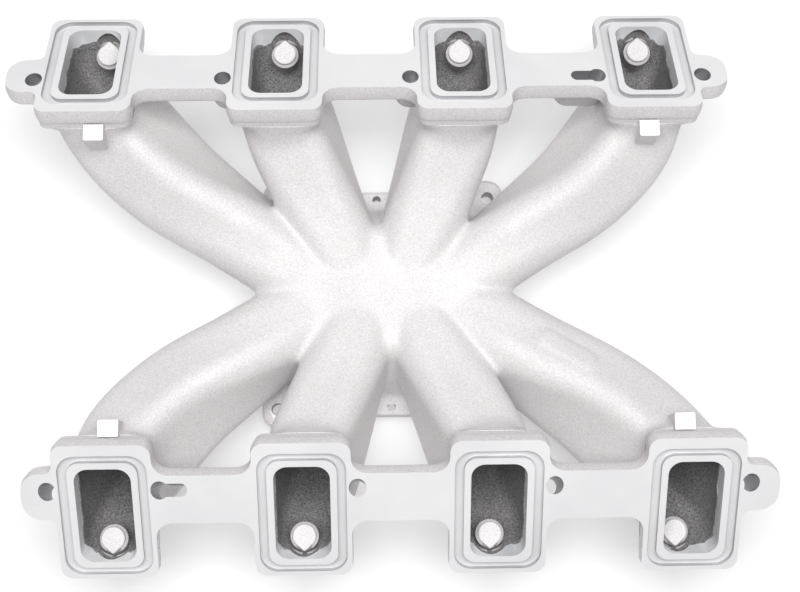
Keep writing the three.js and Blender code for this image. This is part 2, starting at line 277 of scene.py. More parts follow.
def chamber_distance(base, top, z0, z1):
    t = np.clip((GZ - z0) / (z1 - z0), 0, 1)
    half_x, half_y, radius = (lerp(base[k], top[k], t) for k in range(3))
    slope = math.cos(math.atan2(base[1] - top[1], 2 * (z1 - z0)))
    sides = box_distance(GX, GY, half_x / 2, half_y / 2, radius) * slope
    return np.maximum(sides, GZ - z1)


def flange_coordinates():
    v = (GY - PORT_Y) * math.cos(TILT) - (GZ - PORT_Z) * math.sin(TILT)
    n = (GY - PORT_Y) * math.sin(TILT) + (GZ - PORT_Z) * math.cos(TILT)
    return v, n


def neck_distance(i, v, n):
    """The thick neck behind a port's pad, which narrows into the runner."""
    depth = np.clip((-n - PAD_T) / NECK_DEPTH, 0, 1)
    side = 1 if i < 2 else -1
    outer_edge = NECK_LEAN * depth - PORT_W / 2 - WALL
    inner_edge = lerp(NECK_SPREAD, 0.0, depth) + PORT_W / 2 + WALL
    centre = port_x(i) + side * (outer_edge + inner_edge) / 2
    half_u = (inner_edge - outer_edge) / 2
    outside = PORT_H / 2 + WALL
    half_v = (NECK_INNER + outside) / 2
    sides = box_distance(GX - centre, v - (outside - NECK_INNER) / 2, half_u, half_v, PORT_R + WALL)
    return np.maximum(sides, np.maximum(n - ABOVE_FACE, -n - PAD_T - NECK_DEPTH))


def casting_fields():
    """The casting's solid as a distance field, and its air space."""
    tubes = np.full(SHAPE, BAND, np.float32)
    inner = np.full(SHAPE, BAND, np.float32)
    pads = np.full(SHAPE, BAND, np.float32)
    v, n = flange_coordinates()
    middle = (PAD_OUT + PAD_IN) / 2
    for i in PORTS:
        part, outside, inside = runner_fields(i)
        tubes[part] = np.minimum(tubes[part], outside)
        inner[part] = np.minimum(inner[part], inside)
        pad = box_distance(GX - port_x(i), v - middle, PAD_W / 2 - PAD_SHRINK,
                           (PAD_OUT - PAD_IN) / 2 - PAD_SHRINK, R_PAD)
        pad = np.maximum(pad, np.maximum(n - ABOVE_FACE, -n - PAD_T - PAD_SINK))
        pads = np.minimum(pads, np.minimum(pad, neck_distance(i, v, n)))
    chamber = chamber_distance(CHAMBER_BASE, CHAMBER_TOP, CARB_T - BAND, ROOF_Z)
    chamber = blur(np.clip(chamber, -BAND, BAND), CHAMBER_BLUR)
    plate = np.maximum(box_distance(GX, GY, CARB_X, CARB_Y, R_EAR), GZ - CARB_T)
    tubes = np.minimum(np.minimum(tubes, half_turned(tubes)), np.minimum(chamber, plate))
    tubes = np.clip(tubes, -BAND, BAND)
    pads = np.minimum(tubes, np.minimum(pads, half_turned(pads)))
    near_flange = np.clip((n - NEAR_FLANGE[0]) / NEAR_FLANGE[1], 0, 1)
    near_flange = np.maximum(near_flange, half_turned(np.broadcast_to(near_flange, SHAPE)))
    near_flange = near_flange ** 2 * (3 - 2 * near_flange)
    outer = lerp(blur(tubes, CROTCH_BLUR), blur(pads, NECK_BLUR), near_flange.astype(np.float32))
    inner = np.minimum(inner, half_turned(inner))
    inner = np.minimum(inner, chamber_distance(THROAT, CHAMBER_VOID, -1, ROOF_Z - WALL))
    inner = blur(np.clip(inner, -BAND, BAND), CROTCH_BLUR)
    return outer, inner


def small_features(outer, inner):
    """Adds the roots of the lugs and bosses and the blank number pad to the casting."""
    for i, shift in LUG_X.items():
        half = LUG_SIZE / 2 - CORE_STEP
        lug = box_distance(GX - port_x(i) - shift, GY - LUG_Y, half, half, 1.0)
        lug = np.maximum(lug, np.abs(GZ - LUG_ROOT_Z) - LUG_ROOT_HALF)
        outer = np.minimum(outer, np.minimum(lug, half_turned(lug)))
    turn = math.radians(OVAL["turn"])
    along = (GX - OVAL["x"]) * math.cos(turn) + (GY - OVAL["y"]) * math.sin(turn)
    across = -(GX - OVAL["x"]) * math.sin(turn) + (GY - OVAL["y"]) * math.cos(turn)
    half = OVAL["width"] / 2
    oval = box_distance(along, across, OVAL["length"] / 2, half, half)
    upper = OVAL_FLOOR - GZ
    oval = np.maximum(np.maximum(outer - OVAL["raise"], oval), upper)
    outer = np.minimum(outer, oval)
    solid = np.maximum(outer, -inner)
    for i in PORTS:
        x = port_x(i) + INJECTOR_X[i]
        boss = np.hypot(GX - x, GY - INJECTOR_Y) - INJECTOR_R + CORE_STEP
        boss = np.maximum(boss, np.abs(GZ - (INJECTOR_TOP + INJECTOR_FOOT) / 2 + 3)
                          - (INJECTOR_TOP - INJECTOR_FOOT) / 2)
        solid = np.minimum(solid, np.minimum(boss, half_turned(boss)))
    return blur(np.clip(solid, -BAND, BAND), DETAIL_BLUR)


# ---- meshes ---------------------------------------------------------------------


def new_object(name, verts, faces):
    mesh = bpy.data.meshes.new(name)
    mesh.from_pydata([tuple(v) for v in verts], [], [tuple(f) for f in faces])
    mesh.update()
    obj = bpy.data.objects.new(name, mesh)
    SCENE.collection.objects.link(obj)
    return obj


def skin_object(name, field):
    """A closed mesh on the field's zero surface."""
    grid = openvdb.FloatGrid(BAND)
    grid.copyFromArray(field)
    points, quads = grid.convertToQuads(0.0)
    points = points * VOXEL + np.array([a[0] for a in AXES])
    mesh = bpy.data.meshes.new(name)
    mesh.vertices.add(len(points))
    mesh.vertices.foreach_set("co", points.astype(np.float32).ravel())
    mesh.loops.add(quads.size)
    mesh.loops.foreach_set("vertex_index", quads.astype(np.int32).ravel())
    mesh.polygons.add(len(quads))
    mesh.polygons.foreach_set("loop_start", np.arange(0, quads.size, 4, dtype=np.int32))
    mesh.update(calc_edges=True)
    mesh.validate()
    obj = bpy.data.objects.new(name, mesh)
    SCENE.collection.objects.link(obj)
    if signed_volume(mesh) < 0:
        mesh.flip_normals()
    return obj


def signed_volume(mesh):
    mesh.calc_loop_triangles()
    co = np.empty(len(mesh.vertices) * 3, np.float32)
    mesh.vertices.foreach_get("co", co)
    tri = np.empty(len(mesh.loop_triangles) * 3, np.int32)
    mesh.loop_triangles.foreach_get("vertices", tri)
    a, b, c = co.reshape(-1, 3)[tri.reshape(-1, 3)].transpose(1, 0, 2).astype(float)
    return (a * np.cross(b, c)).sum() / 6


def loft(name, rings):
    """A closed solid through rings of equal length, with flat ends."""
    count = len(rings[0])
    verts = [p for ring in rings for p in ring]
    faces = [list(range(count))[::-1]]
    for k in range(len(rings) - 1):
        for j in range(count):
            a, b = k * count + j, k * count + (j + 1) % count
            faces.append([a, b, b + count, a + count])
    faces.append([(len(rings) - 1) * count + j for j in range(count)])
    obj = new_object(name, verts, faces)
    if signed_volume(obj.data) < 0:
        obj.data.flip_normals()
    triangulate(obj)
    return obj


def triangulate(obj):
    mesh = bmesh.new()
    mesh.from_mesh(obj.data)
    bmesh.ops.triangulate(mesh, faces=[f for f in mesh.faces if len(f.verts) > 4], ngon_method="BEAUTY")
    mesh.to_mesh(obj.data)
    mesh.free()


def boolean(obj, operation, *tools):
    """obj joined with, cut by or kept inside the tools, which are then removed."""
    for tool in tools:
        modifier = obj.modifiers.new("boolean", "BOOLEAN")
        modifier.operation = operation
        modifier.solver = "MANIFOLD"
        modifier.object = tool
    bake(obj)
    for tool in tools:
        bpy.data.objects.remove(tool)
    return obj


def bake(obj):
    """Applies the object's modifiers."""
    bpy.context.view_layer.update()
    depsgraph = bpy.context.evaluated_depsgraph_get()
    mesh = bpy.data.meshes.new_from_object(obj.evaluated_get(depsgraph))
    obj.modifiers.clear()
    obj.data = mesh


def copied(obj, name):
    twin = bpy.data.objects.new(name, obj.data.copy())
    SCENE.collection.objects.link(twin)
    return twin


# ---- outlines -------------------------------------------------------------------


def fillet(corners, steps=ARC_STEPS):
    """Points of a polygon whose corners (x, y, radius) are rounded by arcs."""
    points = []
    for k, (x, y, radius) in enumerate(corners):
        at = np.array([x, y], float)
        before = np.array(corners[k - 1][:2], float) - at
        after = np.array(corners[(k + 1) % len(corners)][:2], float) - at
        before /= np.linalg.norm(before)
        after /= np.linalg.norm(after)
        half = math.acos(np.clip(before @ after, -1, 1)) / 2
        middle = (before + after) / np.linalg.norm(before + after)
        centre = at + middle * radius / math.sin(half)
        sweep = math.pi / 2 - half
        side = 1 if before[0] * after[1] - before[1] * after[0] < 0 else -1
        for angle in np.linspace(-sweep, sweep, steps + 1) * side:
            c, s = math.cos(angle), math.sin(angle)
            points.append(centre - radius * np.array([
                middle[0] * c - middle[1] * s, middle[0] * s + middle[1] * c]))
    return np.array(points)


def rectangle(w, h, radius, x=0.0, y=0.0, steps=ARC_STEPS):
    return fillet([
        (x - w / 2, y - h / 2, radius),
        (x + w / 2, y - h / 2, radius),
        (x + w / 2, y + h / 2, radius),
        (x - w / 2, y + h / 2, radius),
    ], steps)


def circle(x, y, radius, steps=40):
    angles = np.linspace(0, 2 * math.pi, steps, endpoint=False)
    return np.stack([x + radius * np.cos(angles), y + radius * np.sin(angles)], 1)


def inset(points, distance):
    """A counterclockwise outline moved inwards by distance."""
    edge = np.roll(points, -1, axis=0) - points
    edge /= np.linalg.norm(edge, axis=1)[:, None]
    normal = np.stack([-edge[:, 1], edge[:, 0]], 1)
    before = np.roll(normal, 1, axis=0)
    scale = 1 + (normal * before).sum(1)
    return points + distance * (normal + before) / scale[:, None]


def subdivided(points, longest):
    """The outline with its long edges split."""
    result = []
    for a, b in zip(points, np.roll(points, -1, axis=0)):
        count = max(1, int(math.ceil(np.linalg.norm(b - a) / longest)))
        result += [lerp(a, b, k / count) for k in range(count)]
    return np.array(result)


def ring(points, z, frame_matrix=None):
    placed = [Vector((x, y, z)) for x, y in points]
    return placed if frame_matrix is None else [frame_matrix @ p for p in placed]


def prism(name, points, z0, z1, frame_matrix=None):
    return loft(name, [ring(points, z0, frame_matrix), ring(points, z1, frame_matrix)])


def flange_outline():
    def left(i):
        return port_x(i) - PAD_W / 2

    def right(i):
        return port_x(i) + PAD_W / 2

    corners = [(EAR_LEFT, EAR_IN, R_EAR), (left(0), EAR_IN, R_STEP), (left(0), PAD_IN, R_PAD)]
    for i in (0, 1, 2):
        corners += [(right(i), PAD_IN, R_PAD), (right(i), BAR_IN, R_INNER)]
        corners += [(left(i + 1), BAR_IN, R_INNER), (left(i + 1), PAD_IN, R_PAD)]
    corners += [(right(3), PAD_IN, R_PAD), (right(3), EAR_IN, R_STEP)]
    corners += [(EAR_RIGHT, EAR_IN, R_EAR), (EAR_RIGHT, EAR_OUT, R_EAR)]
    corners += [(right(3), EAR_OUT, R_STEP), (right(3), PAD_OUT, R_PAD)]
    for i in (3, 2, 1):
        corners += [(left(i), PAD_OUT, R_PAD), (left(i), BAR_OUT, R_INNER)]
        corners += [(right(i - 1), BAR_OUT, R_INNER), (right(i - 1), PAD_OUT, R_PAD)]
    corners += [(left(0), PAD_OUT, R_PAD), (left(0), EAR_OUT, R_STEP), (EAR_LEFT, EAR_OUT, R_EAR)]
    return fillet(corners)


# ---- head flange ----------------------------------------------------------------

PAD_STEP = 0.9                           # how far a pad's thick block is set back
PARTING = 4.5                            # depth of the mould's parting line below the face
DRAFT = 0.55                             # how far the walls lean in from the parting line
BACK_R = 1.6                             # rounding of the cast back edges
PAD_BACK_R = 0.1                         # a pad's back edge is rounded in the skin behind it


def cast_plate(name, points, depth, frame_matrix, back_r, front=0.0):
    """A plate with drafted cast walls and a rounded back edge."""
    rings = [
        ring(inset(points, DRAFT), front, frame_matrix),
        ring(points, front - PARTING, frame_matrix),
    ]
    for angle in np.linspace(0, math.pi / 2, 5):
        in_by = DRAFT + back_r * (1 - math.cos(angle))
        down = depth - back_r * (1 - math.sin(angle))
        rings.append(ring(inset(points, in_by), -down, frame_matrix))
    return loft(name, rings)


def teardrop(x, radius, apex):
    """A circle round the injector boss, drawn out to a point away from the valley."""
    reach = apex - INJECTOR_Y
    tangent = math.acos(radius / reach)
    angles = np.linspace(math.pi / 2 + tangent, 2.5 * math.pi - tangent, 30)
    points = [(x + radius * math.cos(a), INJECTOR_Y + radius * math.sin(a)) for a in angles]
    tip = 1.6
    for a in np.linspace(math.pi / 2 - 0.9, math.pi / 2 + 0.9, 5):
        points.append((x + tip * math.cos(a), apex - tip + tip * math.sin(a)))
    return np.array(points)


# Height, distance out and radius of the hood's sections.
POCKET = [
    (61.0, 147.6, 8.2),
    (65.0, 149.2, 9.0),
    (69.0, 150.8, 9.7),
    (71.2, 151.8, 8.6),
    (73.4, 153.0, 7.1),
    (75.2, 154.4, 5.2),
    (76.6, 155.8, 3.0),
]


def injector_pocket(i):
    """The cast hood over the boss, which closes towards the port's mouth."""
    x = port_x(i) + INJECTOR_X[i]
    return loft("pocket", [ring(circle(x, y, radius), z) for z, y, radius in POCKET])


def port_cut(i):
    """The machined port, whose inner end is wavy where it meets the cast duct."""
    points = subdivided(rectangle(PORT_W, PORT_H, PORT_R, port_x(i), 0), 3.0)
    rng = np.random.default_rng(10 + i)
    phases = rng.uniform(0, 2 * math.pi, 3)
    angles = np.linspace(0, 2 * math.pi, len(points), endpoint=False)
    waves = sum(np.sin(k * angles + phase) for k, phase in zip((5, 9, 16), phases))
    low = [FLANGE @ Vector((p[0], p[1], LEAD_WAVE * w / 2 - LEAD_IN)) for p, w in zip(points, waves)]
    return loft("port_cut", [low, ring(points, 2.0, FLANGE)])


def duct_cut(i):
    """The cast duct through the flange, a step smaller than the machined port."""
    points = rectangle(PORT_W - 2 * CORE_STEP, PORT_H - 2 * CORE_STEP, PORT_R, port_x(i), 0)
    return prism("duct_cut", points, -PAD_T - 3.0, 1.0, FLANGE)


def boss_outline(x):
    """Round, but for the slotted hole's boss, which runs on under its slot."""
    if x != BOLTS[SLOT_AT]:
        return circle(x, BOLT_Y, BOSS_R)
    return rectangle(SLOT_REACH + 2 * BOSS_R, 2 * BOSS_R, BOSS_R / 1.02, x - SLOT_REACH / 2, BOLT_Y)


def bolt_boss(x):
    """An upright cast boss, from inside the bar down to its rounded foot."""
    outline = boss_outline(x)
    foot = BOLT_Z - BOSS_H
    return loft("boss", [
        ring(inset(outline, 1.6), foot),
        ring(inset(outline, 0.5), foot + 0.5),
        ring(outline, foot + 1.6),
        ring(inset(outline, 0.4), BOLT_Z - BAR_T),
        ring(inset(outline, 3.0), BOLT_Z - 5.0),
    ])


def upright(name, points):
    return prism(name, points, BOLT_Z - BOSS_H - 2.0, BOLT_Z + BOSS_R)


def slot_outline():
    end = BOLTS[SLOT_AT] - SLOT_REACH
    return rectangle(SLOT_REACH + SLOT_W / 2, SLOT_W, SLOT_W / 2.02, end + SLOT_REACH / 2, BOLT_Y)


def head_flange():
    body = cast_plate("head_flange", flange_outline(), BAR_T, FLANGE, BACK_R)
    for i in PORTS:
        pad = rectangle(PAD_W, PAD_OUT - PAD_IN, R_PAD, port_x(i), (PAD_OUT + PAD_IN) / 2)
        block = cast_plate("pad", inset(pad, PAD_STEP), PAD_T, FLANGE, PAD_BACK_R, front=-2.0)
        boolean(body, "UNION", block)
    for x in BOLTS:
        boolean(body, "UNION", bolt_boss(x))
    for i in PORTS:
        groove = prism("groove", rectangle(*GROOVE_OUT, port_x(i), 0), -GROOVE_DEPTH, 2.0, FLANGE)
        island = prism("island", rectangle(*GROOVE_IN, port_x(i), 0), -GROOVE_DEPTH - 1, 3.0, FLANGE)
        boolean(groove, "DIFFERENCE", island)
        boolean(body, "DIFFERENCE", groove)
        boolean(body, "DIFFERENCE", duct_cut(i))
        boolean(body, "DIFFERENCE", port_cut(i))
        boolean(body, "DIFFERENCE", injector_pocket(i))
    for x in BOLTS:
        boolean(body, "DIFFERENCE", upright("bolt", circle(x, BOLT_Y, BOLT_D / 2)))
    return boolean(body, "DIFFERENCE", upright("slot", slot_outline()))


# ---- the casting's pieces -------------------------------------------------------

FAR = 260.0


def plenum_plan():
    left, right = PLENUM_CORNERS_X
    y = PLENUM_CORNER_Y
    side = PLENUM_SIDE
    return np.array([(side, 0), (right, y), (left, y), (-side, 0), (-right, -y), (-left, -y)])


def runner_plan(i):
    """The plan of the space round one runner, outside the plenum."""
    left, right = PLENUM_CORNERS_X
    y, side, out = PLENUM_CORNER_Y, PLENUM_SIDE, 180.0
    between = [(port_x(k) + port_x(k + 1)) / 2 for k in (0, 1, 2)]
    middle = -5.0
    plans = [
        [(-side, 0), (left, y), (between[0], out), (-FAR, out), (-FAR, 0)],
        [(left, y), (middle, y), (between[1], out), (between[0], out)],
        [(middle, y), (right, y), (between[2], out), (between[1], out)],
        [(right, y), (side, 0), (FAR, 0), (FAR, out), (between[2], out)],
    ]
    return np.array(plans[i], float)


def flange_cut(i):
    """What lies above the back of the head flange round one port."""
    wide = 2 * PAD_W
    bar = rectangle(wide, FAR, 1, port_x(i), 0, steps=1)
    pad = rectangle(PAD_W, PAD_OUT - PAD_IN, R_PAD, port_x(i), (PAD_OUT + PAD_IN) / 2)
    above_bar = prism("above_bar", bar, -BAR_T, 90.0, FLANGE)
    return boolean(above_bar, "UNION", prism("above_pad", pad, -PAD_T, 80.0, FLANGE))


def boss_space(x):
    return prism("boss_space", boss_outline(x), BOLT_Z - BOSS_H, BOLT_Z + BOSS_R)


def carb_plate_cut():
    return prism("plate_cut", rectangle(2 * CARB_X, 2 * CARB_EAR_Y, R_EAR), -5.0, CARB_T)


def runner_piece(i, skin, right=False):
    """One runner, cut out of the casting's skin."""
    turn = Matrix.Rotation(math.pi, 4, "Z") if right else Matrix.Identity(4)
    piece = copied(skin, f"runner_{i + 1}")
    piece.data.transform(turn)
    boolean(piece, "INTERSECT", prism("region", runner_plan(i), -10.0, 200.0))
    for k in PORTS:
        if abs(k - i) < 2:
            boolean(piece, "DIFFERENCE", flange_cut(k))
    boolean(piece, "DIFFERENCE", carb_plate_cut(), injector_pocket(i))
    boolean(piece, "DIFFERENCE", injector_boss(i))
    if i in LUG_X:
        boolean(piece, "DIFFERENCE", datum_lug(i))
    return boolean(piece, "DIFFERENCE", *[boss_space(x) for x in BOLTS if abs(x - port_x(i)) < 40])


def plenum_piece(skin):
    piece = copied(skin, "plenum")
    return boolean(piece, "INTERSECT", prism("region", plenum_plan(), CARB_T, 200.0))


def injector_boss(i):
    x = port_x(i) + INJECTOR_X[i]
    outline = teardrop(x, INJECTOR_R, 156.4)
    collar = teardrop(x, INJECTOR_R + 1.3, 156.6)
    rings = [
        ring(inset(outline, 1.2), INJECTOR_FOOT),
        ring(inset(outline, 0.4), INJECTOR_FOOT + 0.5),
        ring(outline, INJECTOR_FOOT + 1.4),
        ring(inset(outline, 0.2), INJECTOR_TOP - 8.0),
        ring(collar, INJECTOR_TOP - 5.0),
        ring(collar, INJECTOR_TOP - 3.2),
        ring(inset(outline, 0.1), INJECTOR_TOP - 1.8),
        ring(inset(outline, 0.2), INJECTOR_TOP - 0.4),
        ring(inset(outline, 0.6), INJECTOR_TOP),
    ]
    return loft("injector_boss", rings)


ROOF_HEIGHTS = {}                        # height of the runner's roof at each lug's corners


def datum_lug(i):
    """A square lug with drafted sides, whose foot follows the runner's roof."""
    x = port_x(i) + LUG_X[i]
    top = rectangle(LUG_SIZE - 0.8, LUG_SIZE - 0.8, 0.9, x, LUG_Y, steps=3)
    bottom = rectangle(LUG_SIZE, LUG_SIZE, 1.3, x, LUG_Y, steps=3)
    foot = [Vector((px, py, ROOF_HEIGHTS[i](px, py) - 1.0)) for px, py in bottom]
    crown = [Vector((px, py, LUG_TOP)) for px, py in top]
    shoulder = [Vector((px, py, LUG_TOP - 0.3)) for px, py in inset(top, -0.25)]
    lug = loft("datum_lug", [foot, shoulder, crown])
    pad = rectangle(PAD_W, PAD_OUT - PAD_IN, R_PAD, port_x(i), (PAD_OUT + PAD_IN) / 2)
    return boolean(lug, "DIFFERENCE", prism("pad", pad, -PAD_T, 80.0, FLANGE))


def roof_height(outer):
    """A function giving the height of the runner's roof over a point."""
    lowest, highest = (int((z - AXES[2][0]) / VOXEL) for z in (75.0, 98.0))

    def height(x, y):
        i = int(round((x - AXES[0][0]) / VOXEL))
        j = int(round((y - AXES[1][0]) / VOXEL))
        k = lowest
        while outer[i, j, k] < 0 and k < highest:
            k += 1
        return float(AXES[2][k])
    return height


def carburettor_flange():
    points = rectangle(2 * CARB_X, 2 * CARB_Y, R_EAR)
    body = loft("carburettor_flange", [
        ring(points, 0.0),
        ring(points, CARB_T - BACK_R),
        ring(inset(points, 0.5), CARB_T - 0.5),
        ring(inset(points, BACK_R), CARB_T),
    ])
    ear_x = CARB_X - CARB_EAR_W / 2
    ear_y = CARB_EAR_Y - CARB_EAR_W / 2
    for sx in (-1, 1):
        for sy in (-1, 1):
            ear = rectangle(CARB_EAR_W, CARB_EAR_W, 9.0, sx * ear_x, sy * ear_y)
            boolean(body, "UNION", loft("ear", [
                ring(ear, 0.0),
                ring(ear, CARB_T - BACK_R),
                ring(inset(ear, BACK_R), CARB_T),
            ]))
            hole = circle(sx * CARB_STUD, sy * CARB_STUD, STUD_D / 2)
            boolean(body, "DIFFERENCE", prism("stud", hole, -2.0, CARB_T + 2))
    for s in (-1, 1):
        hole = circle(s * BRACKET_AT[0], s * BRACKET_AT[1], BRACKET_D / 2, 24)
        boolean(body, "DIFFERENCE", prism("hole", hole, -2.0, CARB_T + 2))
    return boolean(body, "DIFFERENCE", prism("throat", rectangle(*THROAT), -2.0, CARB_T + 2))


# ---- materials ------------------------------------------------------------------


class Nodes:
    """A short way to build one material's nodes."""

    def __init__(self, name):
        self.material = bpy.data.materials.new(name)
        self.material.use_nodes = True
        self.tree = self.material.node_tree
        self.shader = self.tree.nodes["Principled BSDF"]
        self.place = self.add("ShaderNodeTexCoord").outputs["Object"]

    def add(self, kind, **settings):
        node = self.tree.nodes.new(kind)
        for key, value in settings.items():
            setattr(node, key, value)
        return node

    def link(self, source, target):
        self.tree.links.new(source, target)

    def noise(self, scale, detail=3.0, roughness=0.55, place=None):
        node = self.add("ShaderNodeTexNoise")
        self.link(place or self.place, node.inputs["Vector"])
        node.inputs["Scale"].default_value = scale
        node.inputs["Detail"].default_value = detail
        node.inputs["Roughness"].default_value = roughness
        return node.outputs["Fac"]

    def range(self, value, low, high, to_low, to_high):
        node = self.add("ShaderNodeMapRange")
        self.link(value, node.inputs["Value"])
        keys = ("From Min", "From Max", "To Min", "To Max")
        for key, number in zip(keys, (low, high, to_low, to_high)):
            node.inputs[key].default_value = number
        return node.outputs["Result"]

    def mix(self, fac, a, b):
        node = self.add("ShaderNodeMix", data_type="RGBA")
        self.link(fac, node.inputs["Factor"])
        node.inputs[6].default_value = (*a, 1)
        node.inputs[7].default_value = (*b, 1)
        return node.outputs[2]

    def bump(self, height, distance, strength, normal=None):
        node = self.add("ShaderNodeBump")
        self.link(height, node.inputs["Height"])
        node.inputs["Distance"].default_value = distance
        node.inputs["Strength"].default_value = strength
        if normal is not None:
            self.link(normal, node.inputs["Normal"])
        return node.outputs["Normal"]

    def finish(self, color, roughness, normal, metallic):
        self.link(color, self.shader.inputs["Base Color"])
        self.link(roughness, self.shader.inputs["Roughness"])
        self.link(normal, self.shader.inputs["Normal"])
        self.shader.inputs["Metallic"].default_value = metallic
        return self.material


def cast_material(name, dark, light, grain, metallic):
    n = Nodes(name)
    sand = n.noise(900.0, 4.0, 0.7)
    blotch = n.noise(28.0, 3.0)
    pits = n.noise(420.0, 2.0)
    shade = n.range(sand, 0.3, 0.7, 0.0, 1.0)
    color = n.mix(shade, dark, light)
    roughness = n.range(blotch, 0.3, 0.7, 0.5, 0.72)
    normal = n.bump(sand, grain, 0.7)
    normal = n.bump(pits, grain * 1.4, 0.5, normal)
    return n.finish(color, roughness, normal, metallic)


def machined_material(name, dark, light, metallic, roughness):
    n = Nodes(name)
    mapping = n.add("ShaderNodeMapping")
    n.link(n.place, mapping.inputs["Vector"])
    mapping.inputs["Scale"].default_value = (0.05, 1.0, 1.0)
    marks = n.noise(1600.0, 2.0, 0.6, mapping.outputs["Vector"])
    cloud = n.noise(18.0, 3.0)
    color = n.mix(n.range(cloud, 0.35, 0.65, 0.0, 1.0), dark, light)
    rough = n.range(marks, 0.3, 0.7, roughness - 0.06, roughness + 0.08)
    normal = n.bump(marks, 0.00004, 0.5)
    return n.finish(color, rough, normal, metallic)


CAST = cast_material("cast_skin", (0.60, 0.582, 0.585), (0.82, 0.80, 0.805), 0.0002, 0.12)
# Cast core skin of the ducts and hoods: its very dark colour is mostly painted shade for the shadow
# inside them.
CORE_PAINTED_SHADE = cast_material("cast_core_painted_shade", (0.10, 0.095, 0.098), (0.50, 0.49, 0.49), 0.0004, 0.3)
MACHINED = machined_material("machined_face", (0.86, 0.855, 0.87), (0.92, 0.915, 0.925), 0.2, 0.42)
# The groove's floor, made darker than the face with painted shade.
GROOVE_FLOOR_PAINTED_SHADE = machined_material("machined_groove_painted_shade", (0.76, 0.755, 0.765), (0.84, 0.835, 0.845), 0.2, 0.42)
# Machined walls of the bores, holes and grooves, made dark with painted shade.
BORE_PAINTED_SHADE = machined_material("machined_bore_painted_shade", (0.44, 0.44, 0.45), (0.56, 0.56, 0.58), 0.4, 0.4)
LEAD_WALL = machined_material("machined_lead_in", (0.72, 0.73, 0.75), (0.95, 0.95, 0.97), 0.2, 0.38)
MATERIALS = {
    "cast": CAST,
    "core_painted_shade": CORE_PAINTED_SHADE,
    "machined": MACHINED,
    "groove": GROOVE_FLOOR_PAINTED_SHADE,
    "bore_painted_shade": BORE_PAINTED_SHADE,
    "lead_in": LEAD_WALL,
}
SLOTS = list(MATERIALS)


def face_data(mesh):
    count = len(mesh.polygons)
    centres = np.empty(count * 3, np.float32)
    normals = np.empty(count * 3, np.float32)
    mesh.polygons.foreach_get("center", centres)
    mesh.polygons.foreach_get("normal", normals)
    return centres.reshape(-1, 3), normals.reshape(-1, 3)


def paint(obj, kinds):
    """Gives each face the material of its kind, an index into SLOTS."""
    obj.data.materials.clear()
    for name in SLOTS:
        obj.data.materials.append(MATERIALS[name])
    obj.data.polygons.foreach_set("material_index", kinds.astype(np.int32))


def sample(field, points):
    """The field's value at the nearest grid points."""
    index = [
        np.clip(np.round((points[:, k] - AXES[k][0]) / VOXEL).astype(int), 0, SHAPE[k] - 1)
        for k in range(3)
    ]
    return field[tuple(index)]


def flange_place(points):
    inverse = np.array(FLANGE.inverted())
    return points @ inverse[:3, :3].T + inverse[:3, 3]


# How close to its surface a face's centre must be to be painted as part of it.
NEAR = 0.3
NEAR_SLOT = 0.4
NEAR_LEVEL = 0.1
NEAR_WALL = 0.12
STEP_INSIDE = 0.15                       # the cast duct's walls lie at least this far inside the port
LEVEL = 0.99                             # a face counts as level from this cosine on
# Faces this close to the duct, and hood faces this deep and near, get the core skin's painted shade.
DUCT_DEPTH = 2.0
HOOD_DEPTH, HOOD_REACH, HOOD_SPACE = 4.2, 12.0, 14.0


def port_distance(local):
    """Distance to the nearest port's wall, negative inside the port."""
    return np.min([
        box_distance(local[:, 0] - port_x(i), local[:, 1], PORT_W / 2, PORT_H / 2, PORT_R)
        for i in PORTS
    ], axis=0)


def near_boss(centres, reach):
    return np.min([
        np.hypot(centres[:, 0] - port_x(i) - INJECTOR_X[i], centres[:, 1] - INJECTOR_Y) for i in PORTS
    ], axis=0) < reach


def paint_skin(obj, inner):
    """The duct's walls, and deeper in the wall the hoods' walls, are the core's cast skin, painted far
    darker with the shade that lies inside them.
    """
    centres, _ = face_data(obj.data)
    depth = sample(inner, centres)
    hood = (depth < HOOD_DEPTH) & near_boss(centres, HOOD_REACH)
    # Painted shade: duct walls and hood walls get the dark core colour.
    is_core_painted_shade = (depth < DUCT_DEPTH) | hood
    paint(obj, np.where(is_core_painted_shade, SLOTS.index("core_painted_shade"), SLOTS.index("cast")))


